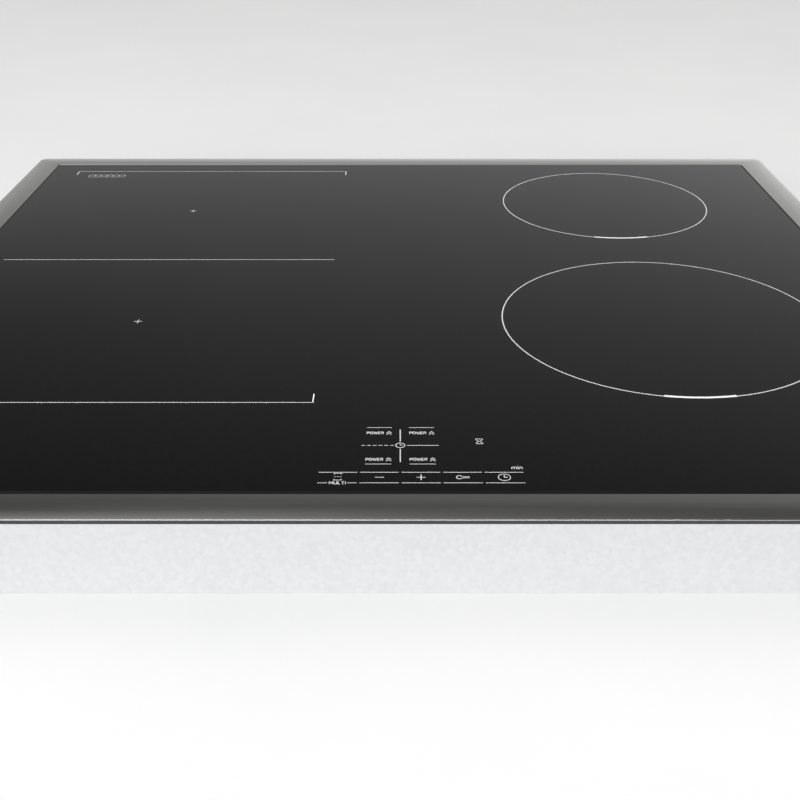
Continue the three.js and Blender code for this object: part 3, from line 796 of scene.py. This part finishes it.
def make_tray_dressing():
    """Stiffening beads, corner laps, screws and a blank data plate; the front stays plain."""
    beads, laps, screws, plate = Parts(), Parts(), Parts(), Parts()
    raised(beads, "rear", (-40, 13), 130, 4.5, PRESSED, 4.5)
    for side in ("left", "right"):
        raised(beads, side, (0, 14), 118, 4.5, PRESSED, 4.5)
    for side in ("front", "rear"):
        for u in (13 - TRAY_HIGH.x, TRAY_HIGH.x - 13):
            raised(laps, side, (u, 24), 7.5, 21.5, LAID_ON)
            for z in (9, 24, 39):
                wall_disc(laps, side, (u, z), SPOT_WELD, 14)
    sides = (-205, -95, 95, 205)
    for side, places in (("left", sides), ("right", sides), ("rear", (-160, -100, 110, 235))):
        for u in places:
            wall_disc(screws, side, (u, 36.5), PAN_HEAD)
    raised(plate, "rear", (175, 22), 34, 11, PLATE)
    for u in (145, 205):
        wall_disc(plate, "rear", (u, 22), RIVET, 16)
    for name, parts, finish in (("pressed_beads", beads, SHEET_STEEL),
            ("corner_laps", laps, SHEET_STEEL), ("screws", screws, ZINC)):
        make_piece("tray_" + name, parts, [finish])
    make_piece("blank_data_plate", plate, [ALUMINIUM])


def make_gland():
    """The cord grip: a flanged tube with a fluted nut and a soft inner ring."""
    low, high = box_mm("cable_gland")
    centre = ((low.x + high.x) / 2, 0, (low.z + high.z) / 2)
    wall, end = TRAY_HIGH.y, high.y
    parts = Parts()
    parts.lathe([(7.2, low.y), (9, low.y), (9, wall + 0.1), (13, wall + 0.1), (13, wall + 1.1),
        (12.6, wall + 1.5), (7.2, wall + 1.5)], centre, 40, axis="y", closed=True)
    nut = []
    for out, reach, flute in ((wall + 1.4, 11.4, 0.5), (end - 0.5, 11.2, 0.5), (end, 10.6, 0.5),
            (end, 7.4, 0), (wall + 1.4, 7.2, 0)):
        ring = []
        for i, a in enumerate(turns(80)):
            r = reach - flute * (i % 4 < 2)
            ring.append(turned(centre, r * cos(a), r * sin(a), out, "y"))
        nut.append(ring)
    parts.loft(nut, closed=True)
    bush = [(6.5, low.y + 0.4), (7.15, low.y + 0.4), (7.15, end - 0.9), (6.7, end - 0.5),
            (6.5, end - 0.9)]
    parts.lathe(bush, centre, 32, 1, "y", closed=True)
    make_piece("cable_grip", parts, [BLACK, SILICONE], replaces=["cable_gland"])


def make_leaves():
    """Four hooked spring strips that bulge out to grip the cut-out."""
    middle = smooth_path([(-2, 43.2), (-2, 41), (1.2, 41), (3.4, 31), (5.5, 23.5), (5.5, 20),
        (5.5, 16.5), (4.4, 10.6), (3.9, 9.3)], 3)
    half_thick = 0.36
    ease = 0.985
    section = [(-1, -0.6), (-ease, -1), (ease, -1), (1, -0.6), (1, 0.6), (ease, 1), (-ease, 1),
        (-1, 0.6)]
    for node in [name for name in NODES if name.startswith("side_clip_")]:
        low, high = box_mm(node)
        side = 1 if low.x > 0 else -1
        y, half = (low.y + high.y) / 2, (high.y - low.y) / 2
        rings = []
        for i, p in enumerate(middle):
            ahead = heading(middle, i)
            wide = half - 0.2 - 3.2 * max(0, (16 - p.y) / 7) ** 2
            ring = []
            for a, b in section:
                at = p + Vector((-ahead.y, ahead.x)) * (b * half_thick)
                ring.append((side * (TRAY_HIGH.x + at.x), y + a * wide, at.y))
            rings.append(ring)
        make_piece(node.replace("side_clip", "spring_leaf"), Parts().loft(rings, caps=True),
            [SPRING], node.replace("side_", ""), 40, [node])


# ---- coils ----
DECK_TOP = box_mm("coil_deck_left")[1].z


class Zone:
    """One coil unit's measures, read from its CAD nodes."""

    def __init__(self, name):
        self.name = name
        self.body = "coil_" + name
        low, high = box_mm("coil_winding_" + name)
        self.centre = (low + high) / 2
        self.half = (high - low) / 2
        self.oblong = self.half.x - self.half.y > 1
        self.side = 1 if self.centre.x > 0 else -1
        self.plate = box_mm("coil_carrier_" + name)[1].z - 7.8


def make_winding(zone):
    """Stranded wire laid in a flat spiral from the hub to the rim."""
    wire, half = 1.62, zone.half
    if zone.oblong:
        inner, radius, corner = (34, 25, 12), 34, 6
    else:
        inner, radius, corner = (24 if half.x > 70 else 22,) * 3, half.x, 8
    outer = (half.x, half.y, radius)
    around = 4 * (corner + 1)
    steps = around * round((half.y - inner[1]) / (2 * wire + 0.12))
    path = []
    for k in range(steps + 1):
        half_x, half_y, r = (a + wire + (b - a - 2 * wire) * (k / steps)
            for a, b in zip(inner, outer))
        x, y = rounded_loop(half_x, half_y, min(r, half_x, half_y), corner)[k % around]
        path.append((zone.centre.x + x, zone.centre.y + y, zone.centre.z))
    make_piece("litz_spiral_" + zone.name, Parts().tube(path, wire, flat=0.8), [COPPER],
        zone.body, 60, ["coil_winding_" + zone.name])


def make_ferrites(zone):
    """Eight bars clipped under the carrier to close the field."""
    top = zone.plate - 0.05
    start, end = 24, min(zone.half.x, zone.half.y) - 17
    mid, half = (start + end) / 2, (end - start) / 2
    parts = Parts()
    for a in turns(8, 0.5):
        for at, half_x, half_y, low, high, ease, slot in ((0, half, 4, 3.4, 0, 0.5, 0),
                (-0.6, 1.5, 5.2, 3.9, 0.03, 0.4, 1), (0.6, 1.5, 5.2, 3.9, 0.03, 0.4, 1)):
            x = zone.centre.x + (mid + at * half) * cos(a)
            y = zone.centre.y + (mid + at * half) * sin(a)
            parts.block((x - half_x, y - half_y, top - low), (x + half_x, y + half_y, top + high),
                ease, slot, a)
    make_piece("ferrite_bars_" + zone.name, parts, [FERRITE, GREY], zone.body)


def make_springs(zone):
    """Coil springs round the carrier's pegs, standing on the deck."""
    gap = zone.plate - DECK_TOP
    wire, reach, laps, steps = 0.45, 5.3, 3.5, 16
    half = zone.half
    if zone.oblong:
        pegs = [(a * (half.x - 14), b * (half.y - 14)) for a in (-1, 1) for b in (-1, 1)]
    else:
        pegs = [((half.x - 12) * cos(a), (half.x - 12) * sin(a)) for a in turns(3, 0.75)]
    parts = Parts()
    for peg_x, peg_y in pegs:
        x, y = zone.centre.x + peg_x, zone.centre.y + peg_y
        path = []
        for k in range(int(laps * steps) + 1):
            a = FULL_TURN * k / steps
            rise = min(1, max(0, (k / steps - 0.5) / (laps - 1)))
            z = DECK_TOP + wire + (gap - 2 * wire) * rise
            path.append((x + reach * cos(a), y + reach * sin(a), z))
        parts.tube(path, wire, 6)
    springs = make_piece("springs_" + zone.name, parts, [SPRING], smooth=60)
    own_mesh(springs)


def make_pair(name, side, route, shift, radius, sides):
    """Two sleeved leads side by side; x counts outwards from the middle of the hob."""
    parts = Parts()
    for apart in (-shift, shift):
        parts.tube(smooth_path([(side * x, y + apart, z) for x, y, z in route]), radius, sides)
    return make_piece(name, parts, [LEAD_WHITE], None, 60)


def make_coil_leads(zone):
    """From the winding's rim over the deck and down to the power board."""
    side, half = zone.side, zone.half.x
    y, board_y = (-45, -45) if zone.centre.y < 0 else (124, 104)
    if not zone.oblong:
        half = sqrt(half ** 2 - (y - zone.centre.y) ** 2)
    rim = abs(zone.centre.x) - half
    route = [(rim + 2, y, 42.4), (rim - 4, y, 42), (rim - 8, y, 38), (rim - 11, y, 33),
        (rim - 17, y, 31.9), (14, y, 31.9), (5, y, 31.9), (3.4, y, 28), (3.4, y - 2, 20),
        (5, (y + board_y) / 2, 15), (14, board_y, 14), (23, board_y, 14), (24, board_y, 9.5)]
    leads = make_pair("coil_leads_" + zone.name, side, route, 1.6, 1.3, 8)
    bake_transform(leads)


def make_sensor_leads(zone):
    """From the temperature sensor through the deck to the power board."""
    side, x, y = zone.side, abs(zone.centre.x), zone.centre.y
    board_y = min(y, 100)
    route = [(x, y, 37), (x, y, 33), (x, y, 30), (x - 2, y, 27), (x - 10, y, 26.7), (44, y, 26.7),
        (32, y, 26), (27, board_y, 18), (27, board_y, 8.5)]
    leads = make_pair("sensor_leads_" + zone.name, side, route, 0.75, 0.65, 6)
    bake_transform(leads)


def make_coil_units():
    for name in ("front_left", "rear_left", "front_right", "rear_right"):
        zone = Zone(name)
        make_winding(zone)
        make_ferrites(zone)
        make_springs(zone)
        make_coil_leads(zone)
        make_sensor_leads(zone)


# ---- electronics ----
BOARD_FINISHES = [BLACK, BLUE, WHITE, TIN, SLEEVE, COPPER, GREY, FERRITE]
DARK, EPOXY, PALE, METAL, CAN, WIRE, STONE, CORE = range(8)
TERMINALS = 192.1


class BoardParts(Parts):
    """Components on one circuit board; x counts outwards from the middle of the hob."""

    def __init__(self, board, side=1):
        super().__init__()
        self.side, self.top = side, box_mm(board)[1].z

    def case(self, x0, x1, y0, y1, height, slot, lift=0.3, ease=0.5):
        a, b = sorted((self.side * x0, self.side * x1))
        self.block((a, y0, self.top + lift), (b, y1, self.top + lift + height), ease, slot)

    def can(self, x, y, radius, height):
        """A round capacitor with a crimped foot and a dished top."""
        profile = [(radius - 0.4, 0.05), (radius, 0.4), (radius, 1.2), (radius - 0.35, 1.6),
            (radius, 2), (radius, height - 0.5), (radius - 0.5, height), (radius - 1.3, height),
            (radius - 1.5, height - 0.25), (0.05, height - 0.3)]
        self.lathe(profile, (self.side * x, y, self.top), 20, CAN)

    def chip(self, x0, x1, y0, y1, pins):
        """A flat package with a row of small legs on both long sides."""
        self.case(x0, x1, y0, y1, 1.3, DARK, 0.25, 0.2)
        step = (x1 - x0) / pins
        for i in range(pins):
            x = x0 + (i + 0.5) * step
            for y in (y0 - 1, y1 - 0.1):
                self.case(x - step * 0.22, x + step * 0.22, y, y + 1.1, 0.5, METAL, 0.02, 0.1)

    def power_switch(self, x, y):
        """A flat-backed switch screwed to the heatsink's flank, with its three legs."""
        self.case(x, x + 4.6, y - 8, y + 8, 16, DARK, 3.5, 0.6)
        for leg in (y - 5, y, y + 5):
            self.case(x + 1.2, x + 2.2, leg - 0.6, leg + 0.6, 4, METAL, 0, 0.15)
        self.case(x + 4.4, x + 6.4, y - 3, y + 3, 3, METAL, 12.5, 0.6)

    def terminal(self, x, y, ways):
        self.case(x, x + 7, y, y + 4 * ways + 2, 6.5, PALE, 0.05, 0.6)
        for i in range(ways):
            self.case(x + 2, x + 5, y + 2 + i * 4, y + 4 + i * 4, 3.4, METAL, 4.6, 0.2)

    def ring_core(self, x, y, radius, hole, height):
        """A core wound all round with wire, but for a gap on the left and the right."""
        cx = self.side * x
        mid, half = (radius + hole) / 2, (radius - hole) / 2
        middle = self.top + 0.4 + height / 2
        low, high = middle - height / 2 + 1, middle + height / 2 - 1
        self.lathe([(hole + 1, low), (radius - 1, low), (radius - 1, high), (hole + 1, high)],
            (cx, y, 0), 32, CORE, closed=True)
        for a in turns(22, 0.5):
            if abs(sin(a)) < 0.22:
                continue
            path = []
            for k in range(13):
                b = FULL_TURN * k / 12
                r = mid + (half - 0.2) * max(-1, min(1, 1.35 * cos(b)))
                z = middle + (height / 2 - 0.3) * max(-1, min(1, 1.35 * sin(b)))
                path.append((cx + r * cos(a), y + r * sin(a), z))
            self.tube(path, 0.6, 6, WIRE)


def make_power_parts(name, side):
    sink = box_mm("heatsink_" + name)
    flank = max(abs(corner.x) for corner in sink) + 0.1
    parts = BoardParts("power_board_" + name, side)
    for y in (-66, -24, 24, 66):
        parts.power_switch(flank, y)
    for y in (-146, -118):
        parts.case(140, 188, y, y + 24, 16, STONE, ease=1.2)
    for y in (-84, -58):
        parts.case(146, 174, y, y + 20, 13.5, EPOXY, ease=1.4)
    parts.case(146, 176, -28, -12, 15, DARK, 0.2, 0.8)
    parts.ring_core(160, 16, 13, 6, 12)
    parts.case(146, 184, 44, 62, 12, PALE, ease=0.9)
    for x in (153, 171):
        parts.can(x, 78, 7.5, 16)
    for y in (-56, -38, -20):
        parts.can(36.5, y, 6.2, 15)
    for x0, x1, y0, y1, pins in ((26, 40, 20, 30, 12), (44, 52, 4, 9, 6), (26, 34, 44, 49, 6),
            (42, 56, 58, 70, 12)):
        parts.chip(x0, x1, y0, y1, pins)
    for y in (-140, -120, 90):
        parts.terminal(TERMINALS - 3.5, y, 3)
    parts.case(22, 42, -150.5, -143.5, 3.8, PALE, 0.1)
    for low, high in ((-67, -60.6), (-50, -40), (97, 109)):
        parts.case(21, 29, low, high, 4.4, PALE, 0.1)
    draw = random.Random(7)
    for _ in range(46):
        x, y = draw.uniform(22, 56), draw.uniform(-10, 106)
        long, wide = draw.choice(((1.6, 0.8), (2, 1.2), (3.2, 1.6)))
        slot = draw.choice((DARK, METAL, STONE))
        parts.case(x, x + long, y, y + wide, 0.6, slot, 0.02, 0.12)
    make_piece("power_parts_" + name, parts, BOARD_FINISHES)


def make_case(name, node, finish, ease):
    """A moulded case in the place of a plain CAD block."""
    make_piece(name, Parts().block(*box_mm(node), ease), [finish], replaces=[node])


def make_filter_parts():
    low, high = box_mm("filter_choke")
    core, parts = BoardParts("filter_board"), BoardParts("filter_board")
    core.ring_core((low.x + high.x) / 2, (low.y + high.y) / 2, (high.x - low.x) / 2 - 0.3, 8.2,
        high.z - core.top - 0.6)
    make_piece("choke_wound_core", core, BOARD_FINISHES, replaces=["filter_choke"])
    make_case("filter_capacitor_case", "filter_capacitor", GREY, 1.4)
    for y in (-104, -84):
        parts.case(216, 246, y, y + 9, 12, EPOXY, ease=1.3)
    parts.case(216, 240, -62, -44, 14, DARK, 0.2, 0.8)
    parts.terminal(214, 92, 5)
    for x in (222, 238):
        parts.can(x, -34, 5.5, 12)
    make_piece("filter_parts", parts, BOARD_FINISHES)


def make_terminals():
    """Screws and bridging links in the mains terminal block."""
    low, high = box_mm("terminal_block")
    y = (low.y + high.y) / 2
    ways = [(low.x + high.x) / 2 + i * 9.2 for i in range(-2, 3)]
    parts = Parts()
    for x in ways:
        parts.lathe([(2.7, 12.1), (2.7, 14.6), (2.3, 15.1), (1.2, 15.2), (1.1, 14.3), (0.05, 14.3)],
            (x, y, 0), 18)
        parts.block((x - 2.6, low.y - 5, 9), (x + 2.6, low.y + 0.2, 10), 0.2)
    for a, b in ((0, 1), (2, 3)):
        parts.block((ways[a] - 2.2, y + 3.3, high.z + 0.02), (ways[b] + 2.2, y + 6.6, high.z + 0.8),
            0.3)
    make_piece("terminal_screws_and_links", parts, [TIN])


def make_touch_parts():
    """Chips, contact pads and a connector under the touch board."""
    under = box_mm("touch_board")[0].z
    chip, pad, connector = range(3)
    parts = Parts()

    def hang(x0, x1, y0, y1, height, slot, gap=0.02, ease=0.5):
        parts.block((x0, y0, under - height), (x1, y1, under - gap), ease, slot)

    for x in (-62, -18, 22, 58):
        hang(x - 8, x + 8, -208, -196, 3, chip)
    for x in range(-64, 65, 16):
        hang(x - 2.2, x + 2.2, -219, -216, 1.6, pad, ease=0.3)
    hang(-41, -23, -190, -184, 3.6, connector)
    draw = random.Random(11)
    for _ in range(40):
        x, y = draw.uniform(-76, 74), draw.uniform(-222, -180)
        hang(x, x + 1.8, y, y + 1, 0.6, draw.choice((chip, pad)), 0.01, 0.1)
    make_piece("touch_board_parts", parts, [BLACK, TIN, WHITE])


def make_harness():
    """Mains, supply and earth leads between the terminal box, filter and power boards."""
    red, blue, green, zinc = range(4)
    face = box_mm("terminal_box")[0].y + 1
    filter_x, over = 217.5, 14.6
    runs = []
    for lead, x in ((red, 202), (blue, 210), (green, 218)):
        y = 111 - 4 * lead
        runs.append((lead, [(x, face, 13), (x, face - 14, 13), (x + 2, 156 - 4 * lead, 6),
            (filter_x, y + 25, 9), (filter_x, y + 6, 21), (filter_x, y, 20), (filter_x, y, over)]))
    runs.append((green, [(232, face, 13), (232, face - 12, 13), (234, 162, 7), (234, 152, 3.2)]))
    for lead in (red, blue):
        y, low, way = 93 + 4 * lead, -162 - 2.8 * lead, -137 + 4 * lead
        runs.append((lead, [(filter_x, y + 2, over), (filter_x, y + 2, 19), (205, y + 1, 21),
            (TERMINALS, y, 19), (TERMINALS, y, over)]))
        half = [(TERMINALS, way, over), (TERMINALS, way, 18), (TERMINALS + 6, way - 1, 18),
                (202, way - 7, 12), (202, -154, 4.5), (196, low, 3.6), (150, low, 3.6)]
        runs.append((lead, half + [(-x, y_, z) for x, y_, z in half[::-1]]))
    parts = Parts()
    for lead, path in runs:
        parts.tube(smooth_path(path), 1.25, 8, lead)
    nut = [(3.4, 1.3), (3.4, 2.2), (2.9, 2.5), (2.4, 2.6), (2.4, 4.4), (1.2, 4.8), (0.05, 4.8)]
    parts.lathe(nut, (234, 150, 0), 6, zinc)
    make_piece("supply_harness", parts, [LEAD_RED, LEAD_BLUE, LEAD_GREEN, ZINC],
        smooth=60)


def make_deck_screws():
    head = [(4.4, 0), (4.4, 0.5), (3, 0.55), (2.8, 1.3), (1.3, 1.8), (1.1, 1), (0.05, 1)]
    parts = Parts()
    for side in (-1, 1):
        for x, y in ((16, -161), (250, -161), (16, 219), (250, 219), (16, 34), (254, 30)):
            parts.lathe([(r, DECK_TOP + h) for r, h in head], (side * x, y, 0), 20)
    make_piece("deck_screws", parts, [ZINC])


def make_electronics():
    for name, side in (("left", -1), ("right", 1)):
        make_power_parts(name, side)
        make_case("film_capacitor_" + name, "bus_capacitor_" + name, WHITE, 1.6)
    make_filter_parts()
    make_terminals()
    make_touch_parts()
    make_harness()
    make_deck_screws()


for make in (make_camera, make_floor, make_lights, make_world, dress_nodes, make_glass, make_trim,
             make_seal_with_painted_shade, make_bond, make_marks, make_tray_dressing, make_gland, make_leaves,
             make_coil_units, make_electronics):
    make()
